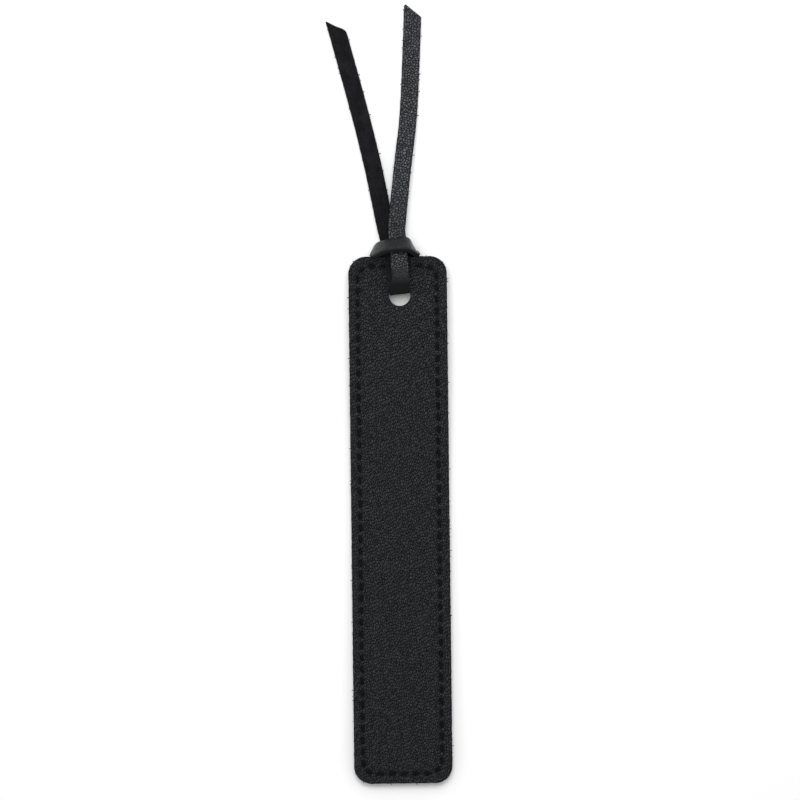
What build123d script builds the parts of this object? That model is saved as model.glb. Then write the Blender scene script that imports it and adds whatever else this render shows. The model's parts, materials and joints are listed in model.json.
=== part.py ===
"""Leather bookmark: two plies sewn round the edge, with a flat lace hitched through a punched hole.

X runs across the panel, Y along it towards the lace and Z up from the table. Sizes are millimetres.
The origin is the middle of the panel, on the table.
"""

import os
from math import atan2, cos, degrees, radians, sin, sqrt, tan

from build123d import *

# Panel
panel_length = 120.0
panel_width = 22.4
corner_radius = 4.0
ply_thickness = 0.85

# Punched hole
hole_diameter = 4.9
hole_to_edge = 8.8
hole_offset = 0.42

# Seam
seam_inset = 2.2
seam_corner = 2.0
stitch_pitch = 2.7
thread_width = 0.42
thread_height = 0.36
stitch_recess = 0.04
seat_gap = 0.02
groove_width = 0.8
slit_length = 1.0
slit_width = 0.74
leg_length = 0.3
leg_overlap = 0.06
lock_gap = 0.06

# Lace
lace_width = 4.0
lace_thickness = 1.2
hole_lace_thickness = 0.86
hole_strand_width = 2.6
gathering_widths = [3.6, 3.2, 2.75]
neck_width = 4.15
neck_from_edge = 5.0
leg_width = 3.6
lay_gap = 0.08
table_gap = 0.03
fold_radius = 0.12

# Slope of the lace from the panel's top edge down to the table
slope_angle = 52.0
slope_start = 0.12
slope_foot_radius = 3.4

# Middles of the two front strands, at the panel's top edge and at the neck above the hole
lower_edge_x = -1.05
lower_neck_x = -0.45
upper_edge_x = 0.32
upper_neck_x = 0.65

# Upper ends of the two back legs: across, below the panel's top edge
left_leg_end = (-3.55, 0.6)
right_leg_end = (2.9, 0.8)

# Swing pivots and lift hinges of the two tails, from the panel's top edge
pivot_rise = 6.2
hinge_reach = 9.5
pivot_clearance = 0.2
hinge_clearance = 0.05
left_pivot_x = -2.5
right_pivot_x = -0.13
left_lean = 11.0
right_lean = -6.0
left_tip_slant = 37.0
right_tip_slant = 33.0

# Routes of the tail ends past the hinge, measured from the pivot: across, along
left_route = [(-2.9, 14.9), (-5.2, 24.8), (-8.1, 36.0), (-11.0, 46.8)]
right_route = [(1.63, 15.0), (3.03, 25.3), (3.73, 37.8), (4.26, 49.9)]

# The panel's top end rides up over the lace behind it
rise_from_edge = 52.0
rise_run = 30.0

# Edges of the hitch's collar, left to right: across, past the panel's top edge, above its front face
collar_edges = [
    ((-5.95, -0.25, -2.54), (-2.7, 1.05, -2.92)),
    ((-6.2, 0.98, -1.2), (-4.0, 1.95, -2.95)),
    ((-6.15, 0.32, 0.85), (-4.95, 1.75, -2.6)),
    ((-5.45, -0.2, 1.8), (-4.6, 2.5, -1.4)),
    ((-4.1, 0.25, 2.9), (-3.9, 3.1, -0.25)),
    ((-2.3, 0.9, 3.85), (-2.05, 3.65, 1.0)),
    ((0.1, 1.25, 3.95), (0.0, 3.85, 0.95)),
    ((2.2, 1.15, 3.8), (2.05, 4.1, 0.85)),
    ((3.5, 0.78, 2.8), (2.98, 3.35, -0.35)),
    ((4.55, 0.25, 1.6), (3.15, 2.4, -1.65)),
    ((5.1, 0.36, 0.6), (3.2, 1.85, -2.55)),
    ((5.1, 0.95, -1.3), (2.6, 1.6, -2.93)),
    ((4.8, -0.3, -2.7), (1.3, 1.0, -2.96)),
]

# Worked out from the sizes above
edge = panel_length / 2
lift = 2 * hole_lace_thickness + 4 * lay_gap
panel_thickness = 2 * ply_thickness
front_face = lift + panel_thickness
rise_low = edge - rise_from_edge
rise_high = rise_low + rise_run
rise_slope = atan2(lift, rise_run)
rise_radius = 0.45 * sqrt(lift**2 + rise_run**2) / tan(rise_slope / 2)
hole_x = hole_offset
hole_y = edge - hole_to_edge
hole_radius = hole_diameter / 2
groove_depth = thread_height + stitch_recess + seat_gap
pivot_y = edge + pivot_rise
upper_tail = lace_thickness + lay_gap
hole_wall = sqrt(hole_radius**2 - (hole_strand_width / 2) ** 2) - lay_gap


def layer_outline(bottom, top):
    """Side view of a layer of the panel, between two heights above its back face."""
    shift = tan(rise_slope / 2)
    with BuildSketch(Plane.YZ) as side:
        with BuildLine():
            runs = []
            for height in (bottom, top):
                corners = [
                    (-edge, height),
                    (rise_low - height * shift, height),
                    (rise_high - height * shift, lift + height),
                    (edge, lift + height),
                ]
                runs.append(FilletPolyline(*corners, radius=[rise_radius - height, rise_radius + height]))
            Line(runs[0] @ 0, runs[1] @ 0)
            Line(runs[0] @ 1, runs[1] @ 1)
        make_face()
    return side.sketch


def back_height(y):
    """Height of the panel's back face above the table."""
    tangent_run = rise_radius * tan(rise_slope / 2)
    first = rise_low - tangent_run
    second = rise_low + tangent_run * cos(rise_slope)
    third = rise_high - tangent_run * cos(rise_slope)
    last = rise_high + tangent_run
    if y <= first:
        return 0.0
    if y <= second:
        return rise_radius - sqrt(rise_radius**2 - (y - first) ** 2)
    if y <= third:
        return (y - rise_low) * tan(rise_slope)
    if y <= last:
        return lift - rise_radius + sqrt(rise_radius**2 - (last - y) ** 2)
    return lift


# Stitch holes, evenly spaced round the seam line
with BuildSketch() as seam_outline:
    RectangleRounded(panel_width - 2 * seam_inset, panel_length - 2 * seam_inset, seam_corner)
seam = seam_outline.sketch.face().outer_wire()
stitch_count = round(seam.length / stitch_pitch)
stitch_holes = [seam.position_at(k / stitch_count) for k in range(stitch_count)]
slit_angles = []
for k in range(stitch_count):
    run = stitch_holes[(k + 1) % stitch_count] - stitch_holes[k - 1]
    slit_angles.append(degrees(atan2(run.Y, run.X)))


def stitch_groove(bottom):
    """Ring that the tightened stitches press into a ply, along the chords between the stitch holes."""
    with BuildSketch() as ring:
        with BuildLine():
            Polyline(*stitch_holes, close=True)
        chords = make_face(mode=Mode.PRIVATE)
        offset(chords, amount=groove_width / 2, kind=Kind.INTERSECTION)
        offset(chords, amount=-groove_width / 2, kind=Kind.INTERSECTION, mode=Mode.SUBTRACT)
    with BuildPart() as groove:
        extrude(layer_outline(bottom, bottom + groove_depth), amount=panel_width, both=True)
        extrude(ring.sketch, amount=front_face + lift, mode=Mode.INTERSECT)
    return groove.part


def leather_ply(bottom, groove_bottom):
    """One leather ply: its outline, stitch groove, stitch holes and punched hole."""
    groove = stitch_groove(groove_bottom)
    with BuildPart() as leather:
        extrude(layer_outline(bottom, bottom + ply_thickness), amount=panel_width, both=True)
        with BuildSketch():
            RectangleRounded(panel_width, panel_length, corner_radius)
        extrude(amount=front_face + lift, mode=Mode.INTERSECT)
        add(groove, mode=Mode.SUBTRACT)
        with BuildSketch():
            for spot, angle in zip(stitch_holes, slit_angles):
                with Locations(Location((spot.X, spot.Y, 0), (0, 0, angle))):
                    Rectangle(slit_length, slit_width)
            with Locations((hole_x, hole_y)):
                Circle(hole_radius)
        extrude(amount=front_face + lift, mode=Mode.SUBTRACT)
    return leather


def seam_thread(height, inward):
    """One thread of the lockstitch: a bar over each chord, with legs that meet the other thread inside."""
    leg_depth = ply_thickness - stitch_recess - lock_gap / 2
    stitches = []
    for k, start in enumerate(stitch_holes):
        end = stitch_holes[(k + 1) % stitch_count]
        start = Vector(start.X, start.Y, back_height(start.Y) + height)
        end = Vector(end.X, end.Y, back_height(end.Y) + height)
        along = (end - start).normalized()
        side = along.cross(Vector(0, 0, inward)).normalized()
        half = (end - start).length / 2 + leg_overlap
        inner = half - leg_length - leg_overlap
        with BuildPart(mode=Mode.PRIVATE) as stitch:
            with BuildSketch(Plane((start + end) / 2, x_dir=along, z_dir=side)):
                with BuildLine():
                    Polyline(
                        (-half, -stitch_recess),
                        (half, -stitch_recess),
                        (half, -stitch_recess - leg_depth),
                        (inner, -stitch_recess - leg_depth),
                        (inner, -stitch_recess - thread_height),
                        (-inner, -stitch_recess - thread_height),
                        (-inner, -stitch_recess - leg_depth),
                        (-half, -stitch_recess - leg_depth),
                        close=True,
                    )
                make_face()
            extrude(amount=thread_width / 2, both=True)
        stitches.append(stitch.part)
    with BuildPart() as thread:
        add(stitches)
    return thread


front_panel = leather_ply(ply_thickness, panel_thickness - groove_depth)
front_panel.part.label = "front_panel"
back_panel = leather_ply(0, 0)
back_panel.part.label = "back_panel"
needle_thread = seam_thread(panel_thickness, 1)
needle_thread.part.label = "needle_thread"
bobbin_thread = seam_thread(0, -1)
bobbin_thread.part.label = "bobbin_thread"


def over_edge(offset_height):
    """Side view of a strand that lies on the panel, bends over its top edge and comes down to the table.

    Each step is (along, up) for the middle of a strand that lies this high over what carries it.
    """
    angle = radians(slope_angle)
    drop = front_face + lay_gap - table_gap
    head = edge + slope_start
    foot = head + drop / tan(angle)
    foot_radius = slope_foot_radius - offset_height
    foot_start = foot + slope_foot_radius * tan(angle / 2)
    steps = [(pivot_y, offset_height - lay_gap + table_gap)]
    for turn in (0, angle / 3, 2 * angle / 3, angle):
        along = foot_start - foot_radius * sin(turn)
        steps.append((along, slope_foot_radius - lay_gap + table_gap - foot_radius * cos(turn)))
    for turn in (angle, 2 * angle / 3, angle / 3, 0):
        steps.append((head + offset_height * sin(turn), front_face + offset_height * cos(turn)))
    return steps


def through_hole(inner_radius, thickness):
    """Side view of a strand that folds into the punched hole and out again behind the panel."""
    radius = inner_radius + thickness / 2
    centre_y = hole_y + hole_wall + fold_radius
    steps = []
    for turn in (0, 30, 60, 90):
        turn = radians(turn)
        steps.append((centre_y - radius * sin(turn), front_face + lay_gap - fold_radius + radius * cos(turn)))
    for turn in (90, 60, 30, 0):
        turn = radians(turn)
        steps.append((centre_y - radius * sin(turn), lift - lay_gap + fold_radius - radius * cos(turn)))
    return steps


def flat_run(points, side, widths, thicknesses, square=False):
    """Edges of a run of lace, its width straight across the panel or square to the run."""
    stations = []
    for k, point in enumerate(points):
        across = Vector(side, 0, 0)
        if square:
            ahead = (points[min(k + 1, len(points) - 1)] - points[max(k - 1, 0)]).normalized()
            across = (across - ahead * across.dot(ahead)).normalized()
        half = across * (widths[k] / 2)
        stations.append((point - half, point + half, thicknesses[k]))
    return stations


def between(first, last, share):
    """Value this share of the way from the first to the last."""
    return first + (last - first) * share


def front_strand(offset_height, tail_x, edge_x, neck_x):
    """Middle of a strand from its tail over the top edge to just above the hole."""
    points = []
    for along, up in over_edge(offset_height):
        share = (pivot_y - along) / (pivot_y - edge)
        points.append(Vector(between(tail_x, edge_x, share), along, up))
    points.append(Vector(neck_x, edge - neck_from_edge, front_face + offset_height))
    return points


def back_leg(leg_end, heights):
    """Middle of a strand behind the panel, from the hole up to the top edge."""
    first_y = hole_y + hole_wall + fold_radius
    points = []
    for share, height in zip((0.3, 0.65, 1.0), heights):
        x = between(hole_x, leg_end[0], share)
        points.append(Vector(x, between(first_y, edge - leg_end[1], share), height))
    return points


def smooth(stations):
    """Stations with one more between each pair, on a curve through its four nearest neighbours."""
    result = [stations[0]]
    for k in range(len(stations) - 1):
        four = [stations[min(max(k + step, 0), len(stations) - 1)] for step in (-1, 0, 1, 2)]
        edges = []
        for side in (0, 1):
            before, first, last, after = [station[side] for station in four]
            edges.append(((first + last) * 9 - (before + after)) / 16)
        result.append((edges[0], edges[1], (four[1][2] + four[2][2]) / 2))
        result.append(stations[k + 1])
    return result


def flat_lace(stations):
    """Closed solid of a lace whose flat section passes through each station."""
    middles = [(first + second) / 2 for first, second, thickness in stations]
    rings = []
    for k, (first, second, thickness) in enumerate(stations):
        ahead = middles[min(k + 1, len(stations) - 1)] - middles[max(k - 1, 0)]
        half = ahead.cross(second - first).normalized() * (thickness / 2)
        rings.append([first - half, second - half, second + half, first + half])
    facets = [Face(Wire.make_polygon(rings[0])), Face(Wire.make_polygon(rings[-1]))]
    for near, far in zip(rings, rings[1:]):
        for k in range(4):
            facets.append(Face(Wire.make_polygon([near[k - 1], near[k], far[k]])))
            facets.append(Face(Wire.make_polygon([near[k - 1], far[k], far[k - 1]])))
    return Solid(Shell(facets))


lower_height = lay_gap + lace_thickness / 2
upper_height = 2 * lay_gap + 1.5 * lace_thickness
thin = hole_lace_thickness
lower_points = front_strand(lower_height, left_pivot_x, lower_edge_x, lower_neck_x)
upper_points = front_strand(upper_height, right_pivot_x, upper_edge_x, upper_neck_x)
full_widths = [lace_width] * len(lower_points)
full = [lace_thickness] * len(lower_points)
lower_front = flat_run(lower_points, 1, full_widths, full)
upper_front = flat_run(upper_points[::-1], -1, full_widths, full)

lower_steps = [Vector(hole_x, y, z) for y, z in through_hole(fold_radius, thin)]
upper_steps = [Vector(hole_x, y, z) for y, z in through_hole(fold_radius + thin + lay_gap, thin)]
hole_widths = gathering_widths + [hole_strand_width] * 2 + gathering_widths[::-1]
neck_widths = [neck_width] * len(upper_steps)
hole_thin = [thin] * len(upper_steps)
lower_hole = flat_run(lower_steps, 1, hole_widths, hole_thin)
upper_hole = flat_run(upper_steps[::-1], -1, neck_widths, hole_thin)

leg_widths = [leg_width, lace_width, lace_width]
leg_thicknesses = [thin, thin, lace_thickness]
lower_leg = back_leg(left_leg_end, [lower_steps[-1].Z] * 2 + [lift - 2 * lay_gap - lace_thickness / 2])
upper_leg = back_leg(right_leg_end, [upper_steps[-1].Z] * 2 + [lay_gap + lace_thickness / 2])
lower_back = flat_run(lower_leg, 1, leg_widths, leg_thicknesses, square=True)
upper_back = flat_run(upper_leg[::-1], -1, leg_widths[::-1], leg_thicknesses[::-1], square=True)

# The collar's two edges, from the left back leg over the strands to the right back leg
collar = []
for lip, hood in collar_edges:
    lip_point = Vector(lip[0], edge + lip[1], front_face + lip[2])
    hood_point = Vector(hood[0], edge + hood[1], front_face + hood[2])
    collar.append((lip_point, hood_point, lace_thickness))
collar = smooth(smooth([lower_back[-1]] + collar + [upper_back[0]]))[1:-1]

stations = lower_front + lower_hole + lower_back + collar + upper_back + upper_hole + upper_front
hitch_lace = flat_lace(stations)
with BuildPart() as lace_hitch:
    add(hitch_lace)
    for pivot_x, bottom in ((left_pivot_x, 0), (right_pivot_x, upper_tail)):
        with Locations((pivot_x, pivot_y, bottom + lace_thickness / 2)):
            Cylinder(lace_width / 2 + pivot_clearance, lace_thickness + lay_gap, mode=Mode.SUBTRACT)
lace_hitch.part.label = "lace_hitch"


def tail_direction(lean):
    """Unit step along a tail that leans this many degrees to the left."""
    return Vector(-sin(radians(lean)), cos(radians(lean)), 0)


def tail_base(pivot_x, lean, bottom):
    """Flat stretch from the round end at the swing pivot to the lift hinge."""
    with BuildPart() as base:
        with BuildSketch(Plane((pivot_x, pivot_y, bottom), x_dir=tail_direction(lean), z_dir=(0, 0, 1))):
            Circle(lace_width / 2)
            with Locations((hinge_reach / 2, 0)):
                Rectangle(hinge_reach, lace_width)
        extrude(amount=lace_thickness)
    return base


def tail_end(pivot_x, lean, bottom, route, tip_slant):
    """Free stretch from the lift hinge to the slanted tip, coming down to the table on the way."""
    start = Vector(pivot_x, pivot_y, 0) + tail_direction(lean) * (hinge_reach + hinge_clearance)
    heights = [bottom, bottom] + [0] * (len(route) - 1)
    points = [Vector(start.X, start.Y, heights[0] + lace_thickness / 2)]
    for (x, y), height in zip(route, heights[1:]):
        points.append(Vector(pivot_x + x, pivot_y + y, height + lace_thickness / 2))
    radii = []
    for before, corner, after in zip(points, points[1:], points[2:]):
        turn = (corner - before).get_angle(after - corner)
        shorter = min((corner - before).length, (after - corner).length)
        radii.append(0.45 * shorter / tan(radians(turn) / 2))
    print("tail radii", [round(radius, 1) for radius in radii])
    tip = points[-1]
    last_run = (tip - points[-2]).normalized()
    points[-1] = tip + last_run * lace_width
    with BuildPart() as end:
        with BuildLine() as line:
            FilletPolyline(*points, radius=radii)
        across = tail_direction(lean).cross(Vector(0, 0, 1))
        with BuildSketch(Plane(points[0], x_dir=across, z_dir=tail_direction(lean))):
            Rectangle(lace_width, lace_thickness)
        sweep(path=line.wire())
        split(bisect_by=Plane.XY, keep=Keep.TOP)
        split(bisect_by=Plane(tip, z_dir=last_run.rotate(Axis.Z, -tip_slant)), keep=Keep.BOTTOM)
    section_volume = lace_width * lace_thickness * sum(run.length for run in line.edges())
    print("tail volume", round(end.part.volume, 1), "section times length", round(section_volume, 1))
    return end


left_tail_base = tail_base(left_pivot_x, left_lean, 0)
left_tail_base.part.label = "left_tail_base"
right_tail_base = tail_base(right_pivot_x, right_lean, upper_tail)
right_tail_base.part.label = "right_tail_base"
left_tail_end = tail_end(left_pivot_x, left_lean, 0, left_route, left_tip_slant)
left_tail_end.part.label = "left_tail_end"
right_tail_end = tail_end(right_pivot_x, right_lean, upper_tail, right_route, right_tip_slant)
right_tail_end.part.label = "right_tail_end"

os.makedirs("parts", exist_ok=True)
pieces = [front_panel, back_panel, needle_thread, bobbin_thread, lace_hitch]
pieces += [left_tail_base, left_tail_end, right_tail_base, right_tail_end]
for piece in pieces:
    export_step(piece.part, f"parts/{piece.part.label}.step")
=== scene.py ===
"""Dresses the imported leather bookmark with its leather, thread and lace, and sets the stage round it.

X runs across the panel, Y along it towards the lace and Z up from the table. Lengths are metres.
"""

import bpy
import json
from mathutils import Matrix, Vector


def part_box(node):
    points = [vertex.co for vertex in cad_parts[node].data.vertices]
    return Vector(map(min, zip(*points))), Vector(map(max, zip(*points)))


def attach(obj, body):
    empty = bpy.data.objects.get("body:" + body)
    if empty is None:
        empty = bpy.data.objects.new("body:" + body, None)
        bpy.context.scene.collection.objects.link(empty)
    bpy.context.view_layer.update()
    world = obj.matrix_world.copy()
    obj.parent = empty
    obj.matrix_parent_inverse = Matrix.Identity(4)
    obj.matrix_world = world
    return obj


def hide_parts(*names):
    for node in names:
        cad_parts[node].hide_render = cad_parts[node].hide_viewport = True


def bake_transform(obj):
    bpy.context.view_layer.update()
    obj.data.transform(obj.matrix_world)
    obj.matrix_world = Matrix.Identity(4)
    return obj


bl_info = {
    "name": "Hitched Leather Bookmark",
    "version": (1, 0, 0),
    "blender": (4, 5, 0),
    "location": "View3D > Sidebar > Bookmark",
    "description": "Builds the plies, seam, hitched lace and stage of a sewn leather bookmark",
    "category": "Object",
}

import json
import random
from math import atan2, copysign, cos, hypot, pi, radians, sin, sqrt, tan

import bpy
import numpy as np
from bpy.props import FloatProperty, FloatVectorProperty, IntProperty, PointerProperty
from mathutils import Vector, noise

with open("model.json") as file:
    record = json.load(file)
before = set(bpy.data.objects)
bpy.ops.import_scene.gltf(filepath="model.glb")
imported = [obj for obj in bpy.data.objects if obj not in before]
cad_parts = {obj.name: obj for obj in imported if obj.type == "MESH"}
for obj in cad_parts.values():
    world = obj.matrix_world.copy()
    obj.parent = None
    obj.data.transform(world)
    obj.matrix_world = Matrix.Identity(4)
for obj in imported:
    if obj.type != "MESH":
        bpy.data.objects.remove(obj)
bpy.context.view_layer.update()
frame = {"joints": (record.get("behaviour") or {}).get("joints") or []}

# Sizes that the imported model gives
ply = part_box("front_panel")[1].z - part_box("back_panel")[1].z
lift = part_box("back_panel")[1].z - ply
front_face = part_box("front_panel")[1].z
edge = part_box("front_panel")[1].y
half_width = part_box("front_panel")[1].x
joint_places = {joint["name"]: Vector(joint["pos_m"]) for joint in frame["joints"]}

# Share of the panel's rise that each of its two bends takes up
bend_share = 0.45

# Reach of a stitch's press and of the seam's pull round it, in half pitches along and threads across
press_along = 0.68
press_across = 0.95
pull_along = 1.1
pull_across = 2.4

# Their depths, as shares of the dimple
press_depth = 0.8
pull_depth = 0.3

# Mesh of a ply: half side of the block round the hole in hole radii, width of the strip with fine columns
# in seam insets, step of the other columns in fine steps, and steps of a quarter turn at the corners
hole_block = 1.4
seam_strip = 1.6
plain_step = 1.25
corner_steps = 18

# Cut edge of a ply: steps of its rounding, its lower part (reach out, height in plies), its ragged waves
rounding_steps = 4
edge_foot = [(1.0, 0.45), (1.0, 0.12), (0.8, 0.03)]
edge_ragged = 0.22
edge_wave = 0.0011

# Punched hole of a ply: reach of its worn rim in edge roundings, places of the rings between that rim and
# the mesh round it, and its lip (reach and depth in edge roundings, wear)
hole_wear = 0.8
hole_rings = (0.35, 0.7)
hole_lip = [(0.25, 0.2, 0.5), (0.0, 0.8, 1.0)]

# Routes of the two tail ends past the lift hinge, measured from the swing pivot: across, along
left_route = [(-0.0029, 0.0149), (-0.0052, 0.0248), (-0.0081, 0.0360), (-0.0110, 0.0468)]
right_route = [(0.00163, 0.0150), (0.00303, 0.0253), (0.00373, 0.0378), (0.00426, 0.0499)]

# Edges of the hitch's collar, left to right: across, past the panel's top edge, above its front face
collar_edges = [
    ((-5.6e-3, -0.25e-3, -2.54e-3), (-2.7e-3, 1.05e-3, -2.92e-3)),
    ((-5.65e-3, 0.78e-3, -1.25e-3), (-3.9e-3, 1.95e-3, -2.95e-3)),
    ((-5.75e-3, 0.46e-3, -0.1e-3), (-4.6e-3, 1.8e-3, -2.8e-3)),
    ((-5.8e-3, -0.1e-3, 0.9e-3), (-5.0e-3, 1.8e-3, -2.3e-3)),
    ((-5.3e-3, -0.35e-3, 1.8e-3), (-4.65e-3, 2.5e-3, -1.35e-3)),
    ((-4.1e-3, 0.22e-3, 2.9e-3), (-3.95e-3, 3.1e-3, -0.25e-3)),
    ((-2.3e-3, 0.9e-3, 3.85e-3), (-2.05e-3, 3.65e-3, 1.0e-3)),
    ((0.1e-3, 1.25e-3, 3.95e-3), (0.0, 3.85e-3, 0.95e-3)),
    ((2.2e-3, 1.15e-3, 3.8e-3), (2.0e-3, 4.05e-3, 0.8e-3)),
    ((3.4e-3, 0.72e-3, 2.8e-3), (2.7e-3, 3.25e-3, -0.4e-3)),
    ((4.4e-3, 0.08e-3, 1.65e-3), (3.05e-3, 2.3e-3, -1.7e-3)),
    ((4.85e-3, -0.08e-3, 0.85e-3), (3.1e-3, 1.8e-3, -2.5e-3)),
    ((4.65e-3, 0.42e-3, -0.1e-3), (2.8e-3, 1.65e-3, -2.85e-3)),
    ((4.35e-3, 0.78e-3, -1.25e-3), (2.2e-3, 1.5e-3, -2.95e-3)),
    ((4.2e-3, -0.3e-3, -2.62e-3), (1.3e-3, 1.0e-3, -2.96e-3)),
]

# Middles of the two front strands, at the panel's top edge and at the neck above the hole
neck_from_edge = 5.0e-3
lower_edge_x = -1.05e-3
lower_neck_x = -0.45e-3
upper_edge_x = 0.32e-3
upper_neck_x = 0.65e-3

# How far the strands slant across the hole, for each step across it
hole_slant = 0.1

# How tight the lace is drawn, which smooths its grain. Past drawn_round the value also paints shade,
# darkening the lace to its cut edge's colour where it goes down into the hole
drawn_loose = 0.0
drawn_slightly = 0.1
drawn_round = 0.5
drawn_down = 1.0
drawn_tight_and_shaded = 2.0

# Widths of the lower strand in the hole, as shares of the way from a leg's width to the hole's
gathering = (0.0, 0.4, 0.85, 1.0)

# Gap between the strands and the panel's top edge, in lay gaps
head_gap = 1.5

# Upper ends of the two back legs (across, below the panel's top edge), and the places of their stations
left_leg_end = (-3.55e-3, 0.6e-3)
right_leg_end = (2.9e-3, 0.8e-3)
leg_shares = (0.3, 0.65, 1.0)

# Section of the lace: width of its worn corners in lace widths, the crown of its upper side and the height
# of the worn corners in half thicknesses, the wear there, and the steps across each side
worn_corner = 0.05
crown = 0.05
worn_height = 0.66
corner_wear = 0.8
section_steps = 6

# Cut edges of the lace: how ragged they are, and the length of the waves
lace_ragged = 0.00005
lace_wave = 0.0009

# Where the texture of the lace's lower side lies beside that of the upper one
lower_lay = 0.1

# Cut of the tails' tips: its slant, the stretch that leans over to it, and the depth of the corners' wear
tip_slant = radians(33)
tip_lean = 0.008
tip_wear_depth = 0.6

# Each tail: its route, whether its flesh side is up, and the wear of its tip's right and left corner
tails = {
    "left": (left_route, 1.0, (0.0018, 0.0002)),
    "right": (right_route, 0.0, (0.0005, 0.0005)),
}

# Steps of the lace's mesh along the tails and near their tips
lace_step = 0.0004
tip_step = 0.0002
tip_stretch = 0.0016

# Grain of the panel: how far its pebbles are turned and stretched
grain_turn = radians(-68)
grain_stretch = 1.7

# Heights in the grain's relief: domes of the pebbles, their levels and the fine grain over them
dome_height = 0.62
level_height = 0.25
fine_height = 0.42

# Roughness of the panel, and what its creases, cut edges and stitch marks add
panel_roughness = 0.33
dull_roughness = 0.35

# Roughness of the raw lace, and what its grain side and a tight stretch of that side take off
raw_roughness = 0.9
grain_polish = 0.46
tight_polish = 0.16

# Middle of the lace's relief, and the share of it that a tight stretch loses
relief_middle = 0.6
tight_loss = 0.7

# Size of the fibres in the flesh side's nap
nap_fibre = 0.0005

# Threads of the seam: piece, node, up or down, and how far it rises out of its dimple in threads
seam_sides = (
    ("needle_stitches", "needle_thread", 1, 0.25),
    ("bobbin_stitches", "bobbin_thread", -1, 0.05),
)

# Depth at which the stitches lie, as a share of the dimple, and the step that finds the panel's slope
stitch_depth = 0.85
slope_step = 0.001

# Loose fibres: step of the places round the panel where they may grow, and their height in plies
rim_step = 0.0003
rim_height = 1.6

# Soft lamp above the lace: length and width, place, and the spot on the table that it faces
key_size = (0.22, 0.2)
key_place = (-0.015, 0.125, 0.28)
key_aim = (0.0, 0.03, 0.0)

# Camera: the spot on the table below it, its turn, and its sensor in millimetres
view_middle = (0.217e-3, 27.33e-3)
view_turn = -0.0117
sensor_width = 36.0


def number_setting(name, description, default, **kind):
    """Number that a user can change."""
    return FloatProperty(name=name, description=description, default=default, **kind)


def length_setting(name, description, default):
    """Length that a user can change."""
    return number_setting(name, description, default, unit="LENGTH", precision=5)


def angle_setting(name, description, degrees):
    """Angle that a user can change."""
    return number_setting(name, description, radians(degrees), subtype="ANGLE")


def colour_setting(name, description, default):
    """Colour that a user can change."""
    return FloatVectorProperty(name=name, description=description, default=default, subtype="COLOR", size=3)


class PanelSettings(bpy.types.PropertyGroup):
    """Sizes and colours of the two leather plies."""

    corner_radius: length_setting("Corner radius", "Radius of the panel's four corners", 0.004)
    edge_rounding: length_setting("Edge rounding", "Radius that the cut edge is worn to", 0.00024)
    hole_radius: length_setting("Hole radius", "Radius of the punched hole", 0.00245)
    hole_offset: length_setting("Hole offset", "How far the hole is off the middle line", 0.00042)
    hole_to_edge: length_setting("Hole to edge", "From the hole's middle to the panel's top edge", 0.0088)
    rise_from_edge: length_setting("Rise start", "From the panel's top edge to where its rise starts", 0.052)
    rise_run: length_setting("Rise run", "Length of the rise over the lace", 0.03)
    grain_step: length_setting("Mesh step", "Step of the mesh beside the seam", 0.0003)
    pebble: length_setting("Grain pebble", "Size of a pebble of the panel's grain", 0.00043)
    colour: colour_setting("Leather", "Colour of the grain side", (0.0074, 0.0080, 0.0092))
    # The cut edge's colour is also painted as shade into the stitch dimples
    cut_colour: colour_setting("Cut edge", "Colour of the raw cut edge", (0.0028, 0.0028, 0.003))


class SeamSettings(bpy.types.PropertyGroup):
    """Sizes of the lockstitch seam."""

    inset: length_setting("Inset", "From the panel's edge to the seam", 0.0022)
    corner: length_setting("Corner", "Radius of the seam's corners", 0.002)
    shift: length_setting("Shift", "How far the seam is off the middle line", -0.00015)
    pitch: length_setting("Pitch", "From one stitch to the next", 0.0027)
    start: length_setting("Start", "How far the first stitch is along the bottom row", 0.0006)
    stitch: length_setting("Stitch", "Length of a stitch that shows", 0.0017)
    thread: length_setting("Thread", "Width of the thread", 0.00052)
    dimple: length_setting("Dimple", "How deep a stitch presses the leather in", 0.00034)
    slant: angle_setting("Slant", "Turn of a stitch off the seam", 9)
    colour: colour_setting("Thread colour", "Colour of the waxed thread", (0.0016, 0.0016, 0.0017))


class LaceSettings(bpy.types.PropertyGroup):
    """Sizes and colours of the flat lace."""

    width: length_setting("Width", "Width of the lace", 0.004)
    thickness: length_setting("Thickness", "Thickness of the lace", 0.0012)
    hole_thickness: length_setting("Hole thickness", "Thickness of the lace squeezed in the hole", 0.00086)
    hole_width: length_setting("Hole width", "Width of the lower strand gathered in the hole", 0.0026)
    neck_width: length_setting("Neck width", "Width of the upper strand spread in the hole", 0.0046)
    leg_width: length_setting("Leg width", "Width of the back legs beside the hole", 0.0036)
    lay_gap: length_setting("Lay gap", "Gap between the lace and what it lies on", 0.00008)
    table_gap: length_setting("Table gap", "Gap between the hitch and the table", 0.00003)
    fold_radius: length_setting("Fold radius", "Inner radius of the fold into the hole", 0.00012)
    slope: angle_setting("Slope", "Slope from the top edge to the table", 52)
    foot_radius: length_setting("Foot radius", "Radius of the bend at the slope's foot", 0.0034)
    root_length: length_setting("Root length", "From the swing pivot to the end of a tail's base", 0.006)
    pebble: length_setting("Grain pebble", "Size of a pebble of the lace's grain", 0.0006)
    colour: colour_setting("Grain side", "Colour of the lace's grain side", (0.0238, 0.0253, 0.0287))
    flesh_colour: colour_setting("Flesh side", "Colour of the lace's flesh side", (0.0038, 0.0037, 0.0051))
    # The cut edge's colour is also painted as shade where the lace goes into the hole
    cut_colour: colour_setting("Cut edge", "Colour of the lace's cut edge", (0.0030, 0.0031, 0.0032))


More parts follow.
